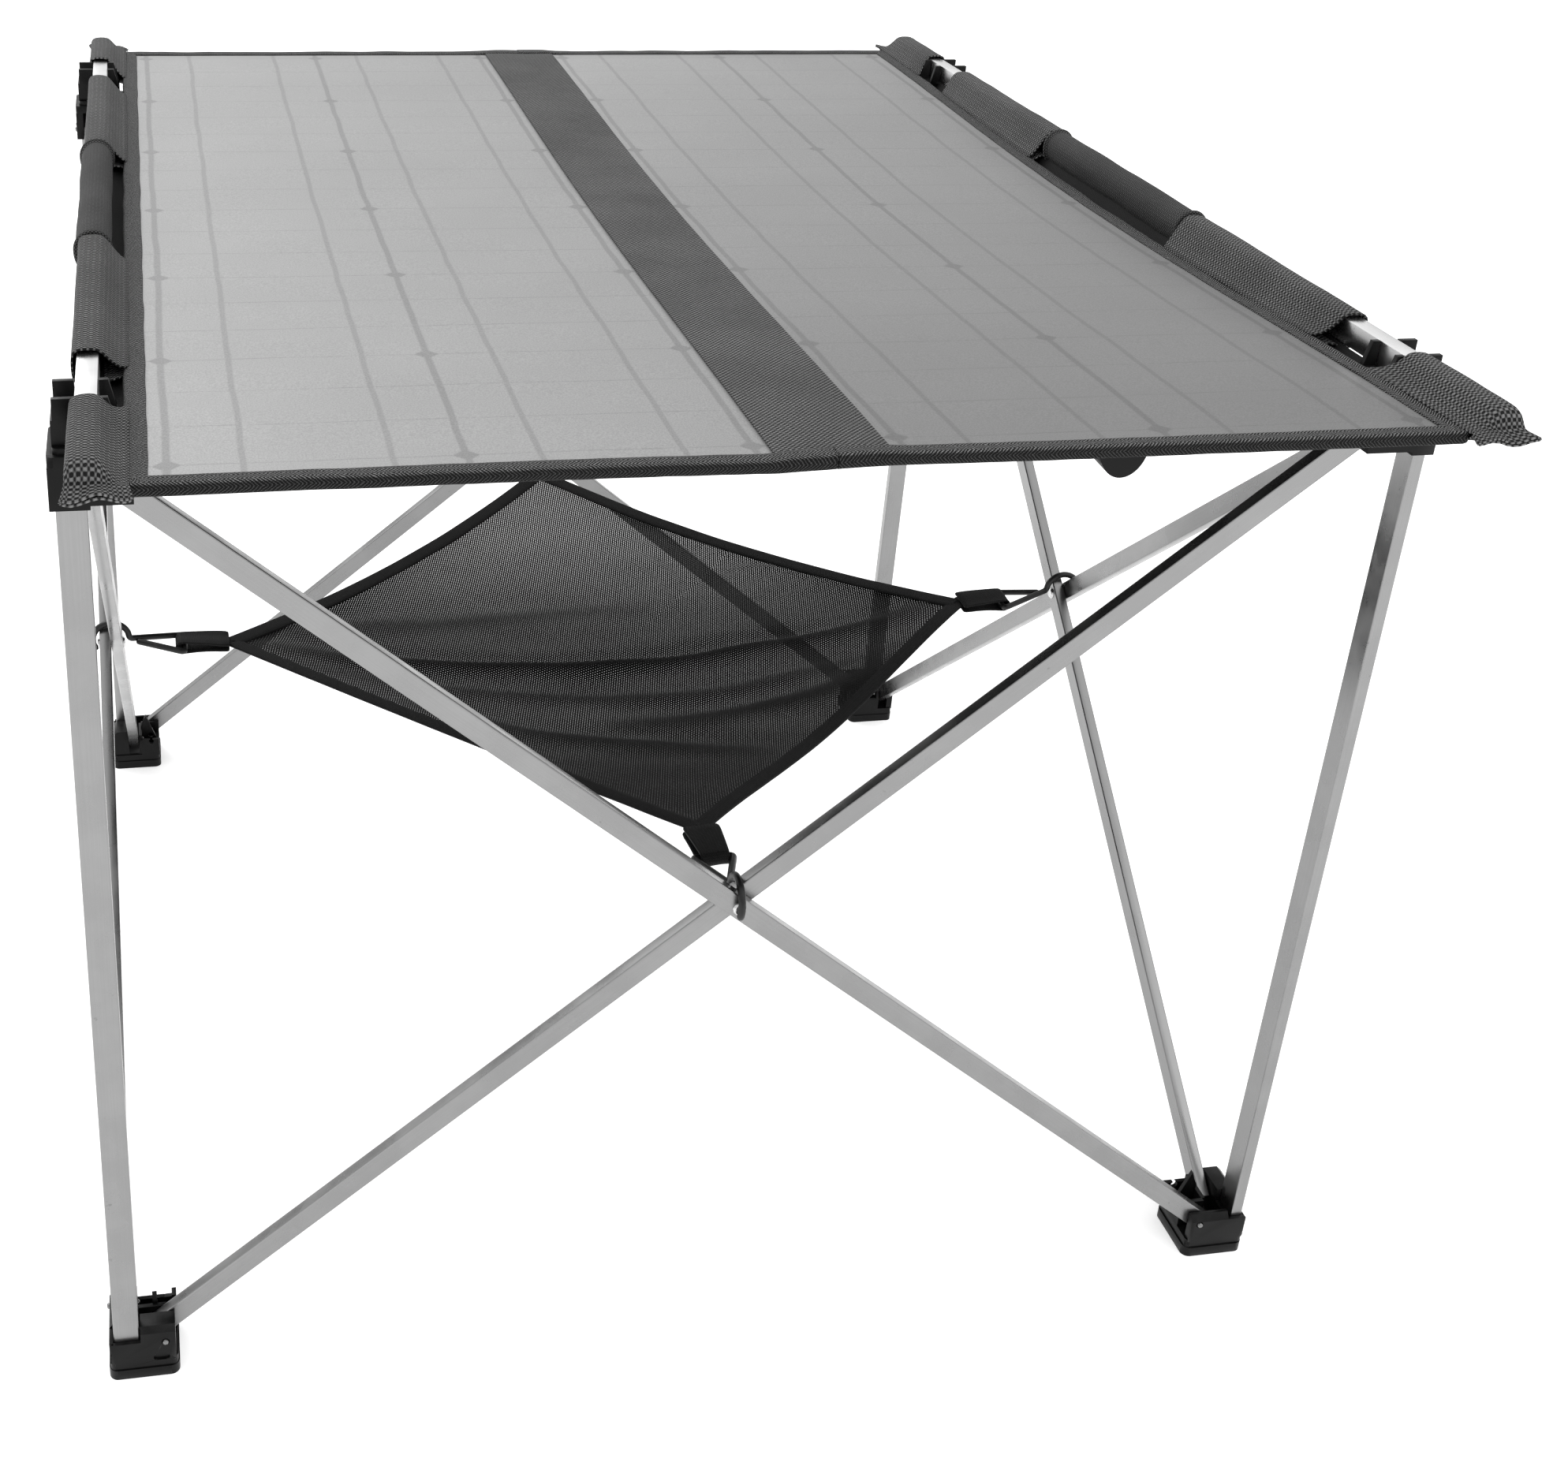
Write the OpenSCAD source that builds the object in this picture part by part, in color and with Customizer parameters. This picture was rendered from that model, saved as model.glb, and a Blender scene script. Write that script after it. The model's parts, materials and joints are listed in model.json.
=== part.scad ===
// Folding camp kitchen table: four corner hubs and four feet joined by eight crossed braces,
// a two-panel solar top on side rails that sit in cradles, and a mesh shelf hung from hooks.
// Origin: on the ground under the middle of the table. +Z up, +X right, -Y front.

/* [Overall] */
// Height of the panel surface above the ground
table_h = 570; // [560:1:600]
// Distance from the middle of the table to the middle of each corner block
corner = 320; // [300:1:340]
// Length of the table top from front edge to back edge
top_len = 816; // [790:1:830]

/* [Frame tubes] */
// Width of a brace tube, seen from its own side of the table
brace_w = 12; // [11:0.5:13]
// Thickness of a brace tube
brace_t = 7; // [6:0.5:7]
// Wall thickness of every tube
tube_wall = 1; // [0.8:0.1:1.4]
// Wide side of a post
post_w = 14; // [13:0.5:14]
// Narrow side of a post
post_t = 7; // [6.5:0.5:7]
// Width of a side rail
rail_w = 10; // [9:0.5:10.5]
// Height of a side rail
rail_h = 13; // [11:0.5:13]
// Length of a side rail
rail_len = 808; // [800:1:812]

/* [Corner blocks] */
// Plan size of a hub and of the walls of a foot
block = 37; // [36:0.5:38]
// Plan size of the flange under a foot
flange = 38.5; // [38:0.5:40]
// Height of the flange
flange_h = 8; // [6:0.5:9]
// Height of the brace pivots above the ground, in the feet
foot_pivot = 24; // [23:0.5:25]
// Height of the brace pivots above the ground, in the hubs
hub_pivot = 537; // [530:1:540]
// Distance of a brace pivot from the middle of its corner block
pivot_in = 12; // [11:0.5:12]
// Radius of a rivet's shank
rivet_r = 2.15; // [1.8:0.05:2.15]
// Radius of the holes that rivets turn in
rivet_hole = 2.2; // [2.2:0.05:2.25]
// Radius of a rivet's head
head_r = 4; // [3.5:0.1:4.5]
// Thickness of a rivet's head
head_h = 1.4; // [1:0.1:1.6]

/* [Solar top] */
// Width of one solar panel
panel_w = 264.4; // [260:0.1:266]
// Length of one solar panel
panel_len = 795; // [770:1:800]
// Thickness of one solar panel
panel_t = 1.8; // [1.2:0.1:2]
// Width of the fabric strip between the panels
strip_w = 58; // [50:1:60]
// Distance of the cover's side edge from the middle
cover_x = 304.5; // [303:0.5:305]
// Length of the padded grip
grip_len = 196; // [180:2:200]
// Outer radius of the padded grip
grip_r = 9.5; // [9:0.1:10]
// End of the bare stretch of rail nearest the middle
window_in = 277; // [270:1:285]
// End of the bare stretch of rail nearest the table's end
window_out = 334; // [333.6:0.1:336]
// End wall of the end sleeve
pocket_end = 408; // [407:0.5:410]
// Outermost edge of the seam that closes the end sleeve
sleeve_end = 425; // [420:1:430]

/* [Mesh shelf] */
// Distance of each mesh corner from the middle
mesh_r = 258; // [250:1:262]
// Height of the mesh corners above the ground
mesh_z = 277; // [270:1:285]
// How far the middle of the mesh hangs below its corners
mesh_sag = 16; // [8:1:30]
// Thickness of the mesh sheet
mesh_t = 1.2; // [0.8:0.1:2]
// Radius of the hook wire
wire_r = 2; // [1.8:0.1:2]
// Distance of the hook's cross bar from the middle
bar_r = 281; // [278:1:284]
// Half width of the hook's triangular link, at its cross bar
link_w = 11.1; // [11:0.1:11.5]
// Half width of the webbing loop
loop_w = 7; // [6.5:0.1:7]
// Radius of the hook's bend, at the middle of its wire
hook_r = 11.6; // [11.4:0.1:12]

/* [Hidden] */
$fn = 48;

half = block / 2;
gap = 0.5;                              // running gap between neighbouring tubes and walls
slip = 0.15;                            // gap round a piece that sits in a pocket
outer_in = 6;                           // inner face of the outer brace plane, from the block's middle
outer_out = outer_in + brace_t;
inner_out = outer_in - gap;
inner_in = inner_out - brace_t;
floor_z = 12;                           // top of a foot's solid floor
post_in = 9;                            // inner face of the post, from the block's middle
post_out = post_in + post_t;
post_end = post_w + 2;                  // outermost edge of the post's wide side
pocket_z = 17;                          // floor of a foot's post pocket
lip_z = 25;                             // top of the low lip in front of the post
wall_z = 26;                            // top of a foot's outer brace wall
tall_z = 34;                            // top of a foot's inner brace block
rib = 2.5;                              // thickness of the ribs behind the braces
hub_base = 529;                         // underside of a hub
hub_deck = hub_pivot + 13;              // underside of a hub's top plate
hub_top = hub_deck + 5;
seat_z = table_h + 10 - rail_h;         // where the rail rests in its cradle
prong_z = table_h + 10;
cradle_in = 12.5;                       // half length of a cradle along the rail
pivot_x = corner - pivot_in;
rise = hub_pivot - foot_pivot;
brace_len = sqrt(pow(2 * pivot_x, 2) + pow(rise, 2));
brace_angle = atan2(rise, 2 * pivot_x);
cross_z = (hub_pivot + foot_pivot) / 2;
cover_z = table_h - 3.6;                // underside of the top cover
cover_top = table_h + 1;
box_x = 139.5;                          // middle of the junction box, from the middle of the table
hook_mid = corner + inner_out + gap / 2;    // middle of the two brace planes
hook_z = cross_z + 2.5;
slot_in = 4;                            // near end of the walls behind a brace, from the block's middle
guide_y = 5.4;                          // near face of the guide wall inside a foot
post_y = 2;                             // nearest edge of the post's wide side, from the block's middle
post_rivet_y = (post_end + post_y) / 2; // where the post's rivet goes through it
seam_t = 3;                             // thickness of the seam that closes an end sleeve
box_r = 12;                             // radius of the junction box's round underside
flap_in = cover_x + 0.2;                // edges and underside of the flap between the cover and the grip
flap_out = 311.2;
flap_z = table_h - 4;
flap_end = 306;

// Places a front right corner piece at each corner in turn:
// 0 front right, 1 back right, 2 back left, 3 front left
module at_corner(k) rotate([0, 0, 90 * k]) translate([corner, -corner, 0]) children();

// Turns a front piece to each side in turn: 0 front, 1 right, 2 back, 3 left
module at_side(k) rotate([0, 0, 90 * k]) children();

// Square with four round corners
module soft_square(w, r) {
    square([w, w - 2 * r], center = true);
    square([w - 2 * r, w], center = true);
    for (x = [-1, 1], y = [-1, 1]) translate([x * (w / 2 - r), y * (w / 2 - r)]) circle(r);
}

// Box given by its low and high corners
module block_to(low, high) translate(low) cube(high - low);

// A profile drawn in (distance outward, height), swept along the block's front face
module front_wall(x0, x1, points)
    translate([x0, 0, 0]) rotate([90, 0, 90]) linear_extrude(x1 - x0)
        polygon([for (p = points) [-p[0], p[1]]]);

// The same, swept along the block's right face
module side_wall(y0, y1, points)
    translate([0, y1, 0]) rotate([90, 0, 0]) linear_extrude(y1 - y0) polygon(points);

module hole_along_y(x, z)
    translate([x, half + 1, z]) rotate([90, 0, 0]) cylinder(r = rivet_hole, h = block + 2);

module hole_along_x(y, z)
    translate([-half - 1, y, z]) rotate([0, 90, 0]) cylinder(r = rivet_hole, h = block + 2);

// A rivet along +X from a to b, with a domed head at b and, unless it is blind, one at a
module rivet(a, b, blind = false) rotate([0, 90, 0]) {
    translate([0, 0, a]) cylinder(r = rivet_r, h = b - a);
    translate([0, 0, b]) cylinder(r1 = head_r, r2 = head_r - 1, h = head_h);
    if (!blind) translate([0, 0, a - head_h]) cylinder(r1 = head_r - 1, r2 = head_r, h = head_h);
}

// Foot: the front wall holds the outer brace, the right block holds the inner brace,
// and the post drops into an open pocket at the outermost corner
module foot(k) color("#1d1d1f") at_corner(k) difference() {
    union() {
        linear_extrude(flange_h - 1.5) soft_square(flange, 5);
        linear_extrude(flange_h) soft_square(flange - 2, 4.5);
        linear_extrude(floor_z) soft_square(block, 3);
        block_to([post_in - rib, -half + 0.6, floor_z - 1], [half - 0.6, -1.5, pocket_z]);
        front_wall(-half + 1, post_in - rib, [[outer_out + 0.6, floor_z - 1], [half, floor_z - 1],
            [half, wall_z], [half - 3, wall_z + 4], [outer_out + 0.6, wall_z + 4]]);
        front_wall(post_in - rib, half - 1, [[post_end + 0.3, floor_z - 1], [half, floor_z - 1],
            [half, wall_z], [post_end + 0.3, wall_z]]);
        block_to([post_out + 0.3, -half + 1, floor_z - 1], [half, -1.5, lip_z]);
        side_wall(-1.5, half - 1, [[inner_out + 0.7, floor_z - 1], [half, floor_z - 1],
            [half, tall_z - 3], [half - 3, tall_z], [inner_out + 0.7, tall_z]]);
        block_to([post_in - rib, -half + 1, floor_z - 1], [post_in - 0.3, -1.5, lip_z]);
        block_to([-half, 0.5 - outer_in, floor_z - 1], [-4, -outer_in + 0.5 + rib, tall_z - 4]);
        block_to([inner_in - 0.6 - rib, -3, floor_z - 1], [inner_in - 0.6, half - 1, tall_z - 4]);
        block_to([-half, half - rib, floor_z - 1], [-4, half, wall_z]);
        block_to([-half, -3, floor_z - 1], [-half + rib, half - 1, wall_z - 4]);
        block_to([-half, guide_y, floor_z - 1], [-slot_in, guide_y + rib, wall_z - 4]);
        side_wall(guide_y, guide_y + rib,
            [[-half + 2, wall_z - 5], [-slot_in, wall_z - 5], [-slot_in, tall_z - 2], [-8, tall_z + 9]]);
    }
    hole_along_y(-pivot_in, foot_pivot);
    hole_along_x(pivot_in, foot_pivot);
    // oval recess low in the right face
    translate([half + 1, pivot_in, floor_z + 1]) rotate([0, -90, 0]) linear_extrude(2.2) {
        circle(2);
        translate([0, -5]) circle(2);
        translate([-2, -5]) square([4, 5]);
    }
}

module foot_rivets(k) color("#c9cacc") at_corner(k) {
    translate([-pivot_in, 0, foot_pivot]) rotate([0, 0, -90]) rivet(outer_in - rib - 0.5, half);
    translate([0, pivot_in, foot_pivot]) rivet(inner_in - 0.6 - rib, half);
}

// Hub: the front slot holds the inner brace, the right slot holds the outer brace,
// and the post is riveted into the corner
module hub(k) color("#1d1d1f") at_corner(k) difference() {
    union() {
        translate([0, 0, hub_deck]) linear_extrude(hub_top - hub_deck) soft_square(block, 3);
        block_to([-half, -half, hub_base + 2], [post_in - rib, -outer_in - 0.2, hub_deck]);
        block_to([post_in - rib, -half, hub_base], [half, -0.5, hub_deck]);
        block_to([outer_out + 0.6, -0.5, hub_base + 2], [half, half, hub_deck]);
        block_to([-half, 2.2, hub_base + 2], [-4, 2.2 + rib, hub_deck]);
        block_to([outer_in - 0.7 - rib, 5, hub_base + 2], [outer_in - 0.7, half, hub_deck]);
        translate([0, 0, hub_top]) linear_extrude(3) soft_square(block - 5, 3);
    }
    block_to([post_in - slip, -post_end - slip, hub_base - 1], [post_out + slip, -post_y + slip, hub_deck + 1]);
    hole_along_y(-pivot_in, hub_pivot);
    hole_along_x(pivot_in, hub_pivot);
    translate([post_in - rib - 1, -post_rivet_y, hub_pivot - 2]) rotate([0, 90, 0])
        cylinder(r = rivet_hole, h = half);
}

module hub_rivets(k) color("#c9cacc") at_corner(k) {
    translate([-pivot_in, 0, hub_pivot]) rotate([0, 0, -90]) rivet(-2.2 - rib, half);
    translate([0, pivot_in, hub_pivot]) rivet(outer_in - 0.7 - rib, half);
    translate([0, -post_rivet_y, hub_pivot - 2]) rivet(post_in - rib, half, blind = true);
}

// Rectangular tube along +X with rivet holes through its thin side, running along -Y from y = 0
module brace_tube() difference() {
    block_to([-brace_w / 2, -brace_t, -brace_w / 2], [brace_len + brace_w / 2, 0, brace_w / 2]);
    block_to([-brace_w, -brace_t + tube_wall, -brace_w / 2 + tube_wall],
        [brace_len + brace_w, -tube_wall, brace_w / 2 - tube_wall]);
    for (x = [0, brace_len / 2, brace_len]) translate([x, 1, 0]) rotate([90, 0, 0])
        cylinder(r = rivet_hole, h = brace_t + 2);
}

// Outer brace: from the right foot up to the left hub of its side
module outer_brace(k) color("#b9babc") at_side(k)
    translate([pivot_x, -corner - outer_in, foot_pivot]) mirror([1, 0, 0])
        rotate([0, -brace_angle, 0]) brace_tube();

// Inner brace: from the left foot up to the right hub of its side
module inner_brace(k) color("#b9babc") at_side(k)
    translate([-pivot_x, -corner - inner_in, foot_pivot]) rotate([0, -brace_angle, 0]) brace_tube();

module crossing_rivet(k) color("#c9cacc") at_side(k)
    translate([0, -corner, cross_z]) rotate([0, 0, -90]) rivet(inner_in, outer_out);

// Post: fixed in its hub, standing in the open pocket of the foot below
module post(k) color("#b9babc") at_corner(k) difference() {
    block_to([post_in, -post_end, pocket_z], [post_out, -post_y, hub_deck + 1]);
    block_to([post_in + tube_wall, -post_end + tube_wall, pocket_z - 1],
        [post_out - tube_wall, -post_y - tube_wall, hub_deck + 2]);
    translate([post_in - 1, -post_rivet_y, hub_pivot - 2]) rotate([0, 90, 0])
        cylinder(r = rivet_hole, h = post_t + 2);
}

// Cradle: an open fork that the side rail drops into; sx and sy point to its corner
module rail_cradle(sx, sy) color("#1d1d1f")
    translate([sx * corner, sy * corner, 0]) mirror([sx < 0 ? 1 : 0, 0, 0]) {
    fork = rail_w / 2 + 0.4;
    block_to([-13, -cradle_in, hub_top + 3], [16, cradle_in, seat_z]);
    block_to([12, -cradle_in, seat_z - 1], [16, cradle_in, seat_z + 3]);
    for (y = [-cradle_in, cradle_in - 3]) {
        block_to([fork, y, seat_z - 1], [15, y + 3, prong_z]);
        translate([0, y + 3, 0]) rotate([90, 0, 0]) linear_extrude(3)
            polygon([[-fork, seat_z - 1], [-fork, prong_z], [-9.5, prong_z], [-13, seat_z - 1]]);
    }
}

module side_rail(side) color("#d8d9da") difference() {
    block_to([side * corner - rail_w / 2, -rail_len / 2, seat_z],
        [side * corner + rail_w / 2, rail_len / 2, prong_z]);
    block_to([side * corner - rail_w / 2 + tube_wall, -rail_len, seat_z + tube_wall],
        [side * corner + rail_w / 2 - tube_wall, rail_len, prong_z - tube_wall]);
}

// Fabric sleeves round the rail: two long ones beside the grip, two end ones that are closed pockets,
// and the flap that closes the gap between the cover and the grip
module rail_sleeves(side) color("#3a3a3c") mirror([side < 0 ? 1 : 0, 0, 0]) difference() {
    inner = corner - rail_w / 2 - 2;
    outer = corner + rail_w / 2 + 2.4;
    for (run = [[grip_len / 2 + 2, window_in], [window_out, pocket_end]], y = [0, 1]) mirror([0, y, 0]) {
        block_to([inner, run[0], seat_z - 2], [outer, run[1], prong_z + 1.6]);
        block_to([cover_x + 0.2, run[0], table_h - 1], [inner + 1, run[1], table_h + 1]);
        block_to([inner, pocket_end - 1, table_h], [outer, sleeve_end, table_h + seam_t]);
        block_to([flap_in, -1, flap_z], [flap_out, flap_end, flap_z + 1.5]);
        block_to([flap_out - 1, grip_len / 2 + 2, flap_z], [inner + 0.5, window_in, flap_z + 1.5]);
    }
    block_to([corner - rail_w / 2 - slip, -rail_len / 2 - slip, seat_z - slip],
        [corner + rail_w / 2 + slip, rail_len / 2 + slip, prong_z + slip]);
}

// Padded grip wrapped round the middle of the rail, with a piped edge at each end
module grip(side) color("#2c2c2e") translate([side * corner, 0, seat_z + rail_h / 2]) difference() {
    rotate([90, 0, 0]) {
        translate([0, 0, -grip_len / 2]) cylinder(r = grip_r, h = grip_len);
        for (z = [-grip_len / 2, grip_len / 2 - 3]) translate([0, 0, z]) cylinder(r = grip_r + 0.8, h = 3);
    }
    cube([rail_w + 2 * slip, grip_len + 2, rail_h + 2 * slip], center = true);
}

module solar_panel(side) color("#9fa1a3") mirror([side < 0 ? 1 : 0, 0, 0])
    block_to([strip_w / 2, -panel_len / 2, table_h - panel_t],
        [strip_w / 2 + panel_w, panel_len / 2, table_h]);

// Fabric cover of one half: the backing sheet, the bound edges and half of the middle strip
module top_cover(side) color("#333335") mirror([side < 0 ? 1 : 0, 0, 0]) difference() {
    block_to([0.1, -top_len / 2, cover_z], [cover_x, top_len / 2, cover_top]);
    block_to([strip_w / 2 - slip, -panel_len / 2 - slip, table_h - panel_t - slip],
        [strip_w / 2 + panel_w + slip, panel_len / 2 + slip, cover_top + 1]);
}

// Round-bottomed junction box under the front of the right panel, with an output socket in its back
module junction_box() color("#1d1d1f") difference() {
    translate([box_x, -336, 0]) rotate([90, 0, 0]) linear_extrude(60) difference() {
        translate([0, cover_z]) circle(box_r);
        translate([-box_r - 1, cover_z]) square([2 * box_r + 2, box_r + 1]);
    }
    translate([box_x, -328, cover_z - box_r / 2]) rotate([90, 0, 0]) cylinder(r = 4, h = 20);
}

// Bent wire hook: a triangular link for the webbing loop, then a bend over the crossed braces
module mesh_hook(k) color("#222224") at_side(k) {
    tip = [0, -hook_mid + hook_r, hook_z];
    for (x = [-1, 1]) {
        wire([x * link_w, -bar_r, mesh_z], tip);
        translate([x * link_w, -bar_r, mesh_z]) sphere(wire_r);
    }
    wire([-link_w, -bar_r, mesh_z], [link_w, -bar_r, mesh_z]);
    translate(tip) sphere(wire_r);
    translate([0, -hook_mid, hook_z]) rotate([90, 0, -90]) rotate([0, 0, -12]) rotate_extrude(angle = 200)
        translate([hook_r, 0]) circle(wire_r);
}

// Straight round wire from a to b
module wire(a, b) {
    d = b - a;
    translate(a) rotate([0, acos(d[2] / norm(d)), atan2(d[1], d[0])]) cylinder(r = wire_r, h = norm(d));
}

// Webbing loop that joins a mesh corner to its hook
module mesh_loop(k) color("#202022") at_side(k) difference() {
    union() {
        block_to([-loop_w, -bar_r, mesh_z - 1], [loop_w, -mesh_r - 0.5, mesh_z + 1]);
        translate([-loop_w, -bar_r, mesh_z]) rotate([0, 90, 0]) cylinder(r = wire_r + 1.4, h = 2 * loop_w);
    }
    translate([-loop_w - 1, -bar_r, mesh_z]) rotate([0, 90, 0]) cylinder(r = wire_r + 0.2, h = 2 * loop_w + 2);
}

// One quarter of the mesh sheet, sloping from its corner down to the middle
module mesh_quarter(k) color("#2a2a2c") at_side(k)
    translate([0, -mesh_r, mesh_z]) rotate([-atan2(mesh_sag, mesh_r), 0, 0]) translate([0, 0, -mesh_t / 2])
        linear_extrude(mesh_t)
            polygon([[0, 0], [mesh_r / 2 - 1, mesh_r / 2], [0, mesh_r - 1.5], [-mesh_r / 2 + 1, mesh_r / 2]]);

corners = ["front_right", "back_right", "back_left", "front_left"];
signs = [[1, -1], [1, 1], [-1, 1], [-1, -1]];
sides = ["front", "right", "back", "left"];

for (k = [0:3]) {
    foot(k);
    foot_rivets(k);
    hub(k);
    hub_rivets(k);
    rail_cradle(signs[k][0], signs[k][1]);
    post(k);
    outer_brace(k);
    inner_brace(k);
    crossing_rivet(k);
    mesh_hook(k);
    mesh_loop(k);
    mesh_quarter(k);
}
for (half_top = [[-1, "left"], [1, "right"]]) {
    solar_panel(half_top[0]);
    top_cover(half_top[0]);
    side_rail(half_top[0]);
    rail_sleeves(half_top[0]);
    grip(half_top[0]);
}
junction_box();
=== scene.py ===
"""Looks of the folding camp kitchen table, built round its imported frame.

Everything is in metres, in the frame's own axes: +Z up, +X right, -Y front, the floor at z = 0.
"""

import json
import math

import bmesh
import bpy
import numpy as np
from mathutils import Matrix, Vector, noise

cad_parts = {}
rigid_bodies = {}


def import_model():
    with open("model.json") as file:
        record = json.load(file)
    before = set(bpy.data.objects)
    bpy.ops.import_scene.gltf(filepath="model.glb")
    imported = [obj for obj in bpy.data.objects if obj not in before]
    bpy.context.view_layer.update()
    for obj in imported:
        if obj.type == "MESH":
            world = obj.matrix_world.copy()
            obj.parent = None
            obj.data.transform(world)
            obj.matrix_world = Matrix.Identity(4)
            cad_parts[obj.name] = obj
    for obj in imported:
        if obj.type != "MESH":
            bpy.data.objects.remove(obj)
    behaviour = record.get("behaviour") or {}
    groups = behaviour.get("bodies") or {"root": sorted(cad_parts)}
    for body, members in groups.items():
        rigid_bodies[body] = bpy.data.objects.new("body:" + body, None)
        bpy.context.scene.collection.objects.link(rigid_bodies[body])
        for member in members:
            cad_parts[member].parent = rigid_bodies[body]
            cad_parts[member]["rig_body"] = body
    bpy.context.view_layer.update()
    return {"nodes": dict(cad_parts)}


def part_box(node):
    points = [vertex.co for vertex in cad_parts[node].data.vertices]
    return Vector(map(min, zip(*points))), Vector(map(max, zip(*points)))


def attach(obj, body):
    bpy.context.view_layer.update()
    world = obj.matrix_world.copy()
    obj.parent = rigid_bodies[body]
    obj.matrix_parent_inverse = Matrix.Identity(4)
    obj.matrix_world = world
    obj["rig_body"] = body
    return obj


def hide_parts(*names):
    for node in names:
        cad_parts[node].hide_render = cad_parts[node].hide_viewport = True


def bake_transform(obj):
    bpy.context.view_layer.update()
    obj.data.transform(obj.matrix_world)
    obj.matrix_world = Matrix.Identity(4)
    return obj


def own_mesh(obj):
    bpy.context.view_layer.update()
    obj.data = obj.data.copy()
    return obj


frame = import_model()

MM = 0.001
CORNERS = ("front_right", "back_right", "back_left", "front_left")
SIDES = ("front", "right", "back", "left")
HALVES = {"left": -1, "right": 1}

# Places that the soft pieces are built on, read from the frame
RAIL_LOW, RAIL_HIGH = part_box("side_rail_right")
COVER_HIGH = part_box("top_cover_right")[1]
PANEL_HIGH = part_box("solar_panel_right")[1]
GRIP_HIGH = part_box("grip_right")[1]
MESH_LOW, MESH_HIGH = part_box("mesh_front")
HOOK_LOW, HOOK_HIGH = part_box("mesh_hook_front")
TOP_Z = PANEL_HIGH.z
EDGE_X = COVER_HIGH.x
END_Y = COVER_HIGH.y
RAIL_X = (RAIL_LOW.x + RAIL_HIGH.x) / 2
RAIL_Z = (RAIL_LOW.z + RAIL_HIGH.z) / 2

# Sizes of the soft goods
STRIP_HALF = 26.5 * MM  # half width of the middle strip
TAPE_W = 10 * MM  # width of the edge tape on top of the panel
WINDOW_IN = 277 * MM  # where the long sleeve ends
WINDOW_OUT = 334 * MM  # where the end sleeve starts
POCKET_END = 408 * MM  # closed end of the end sleeve
GRIP_GAP = 2 * MM  # between a grip and the sleeve beside it
MESH_R = -MESH_LOW.y  # from the middle of the shelf to each of its corners
FLAP_END = 307.2 * MM  # where the flap beside the grip ends, short of the rail cradles
GUIDE_Z = 34.5 * MM  # the front left foot's guide wall is drawn down to about here, lower than its part
CELL_W = 127 * MM  # pitch of the solar cells across and along the table
CELL_L = 129 * MM
MESH_OPEN = 1.55  # how high the knit's wave must rise before it is a hole
WIRE_R = 2 * MM  # radius of the hooks' wire
BAR_R = -HOOK_HIGH.y + WIRE_R  # from the middle of the table to the middle of a hook's cross bar
SHELF_SAG = 25 * MM
SHELF_Z = MESH_HIGH.z - 0.3 * MM


# ---------------------------------------------------------------- materials


class Paint:
    """A node material being built, with short calls for the nodes that this scene uses."""

    def __init__(self, name, **surface):
        self.material = bpy.data.materials.new(name)
        self.material.use_nodes = True
        self.tree = self.material.node_tree
        self.surface = self.tree.nodes["Principled BSDF"]
        self.output = self.tree.nodes["Material Output"]
        for socket, value in surface.items():
            self.plug(self.surface.inputs[socket.replace("_", " ")], value)

    def plug(self, socket, value):
        if isinstance(value, bpy.types.NodeSocket):
            self.tree.links.new(value, socket)
        elif socket.type == "RGBA" and not hasattr(value, "__len__"):
            socket.default_value = (value, value, value, 1)
        else:
            socket.default_value = value

    def make(self, kind, inputs=(), **settings):
        node = self.tree.nodes.new("ShaderNode" + kind)
        for key, value in settings.items():
            setattr(node, key, value)
        for key, value in dict(inputs).items():
            self.plug(node.inputs[key], value)
        return node

    def math(self, operation, a, b=0.0):
        return self.make("Math", {0: a, 1: b}, operation=operation).outputs[0]

    def rest(self):
        """The place on the object, in metres."""
        return self.make("TexCoord").outputs["Object"]

    def cloth(self):
        """(across, along) the piece, in metres."""
        split = self.make("SeparateXYZ", {0: self.make("TexCoord").outputs["UV"]})
        return split.outputs[0], split.outputs[1]

    def place(self, x, y, z=0.0):
        return self.make("CombineXYZ", {0: x, 1: y, 2: z}).outputs[0]

    def noise(self, scale, detail=3.0, roughness=0.5, vector=None):
        inputs = {"Vector": vector or self.rest(), "Scale": scale, "Detail": detail, "Roughness": roughness}
        return self.make("TexNoise", inputs).outputs["Fac"]

    def wave(self, value, period, phase=0.0):
        """cos(2 pi value / period + phase)"""
        turned = self.math("MULTIPLY_ADD" if phase else "MULTIPLY", value, 2 * math.pi / period)
        if phase:
            turned.node.inputs[2].default_value = phase
        return self.math("COSINE", turned)

    def between(self, value, low, high, to_low=0.0, to_high=1.0, smooth=True):
        inputs = {"Value": value, "From Min": low, "From Max": high, "To Min": to_low, "To Max": to_high}
        kind = "SMOOTHSTEP" if smooth else "LINEAR"
        return self.make("MapRange", inputs, interpolation_type=kind).outputs[0]

    def mix(self, factor, a, b):
        """A grey or colour between a and b."""
        node = self.make("Mix", data_type="RGBA")
        for socket, value in ((0, factor), (6, a), (7, b)):
            self.plug(node.inputs[socket], value)
        return node.outputs[2]

    def bump(self, height, distance, strength=1.0, under=None):
        inputs = {"Height": height, "Distance": distance, "Strength": strength}
        if under:
            inputs["Normal"] = under
        return self.make("Bump", inputs).outputs[0]

    def finish(self, **surface):
        for socket, value in surface.items():
            self.plug(self.surface.inputs[socket.replace("_", " ")], value)
        return self.material


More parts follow.
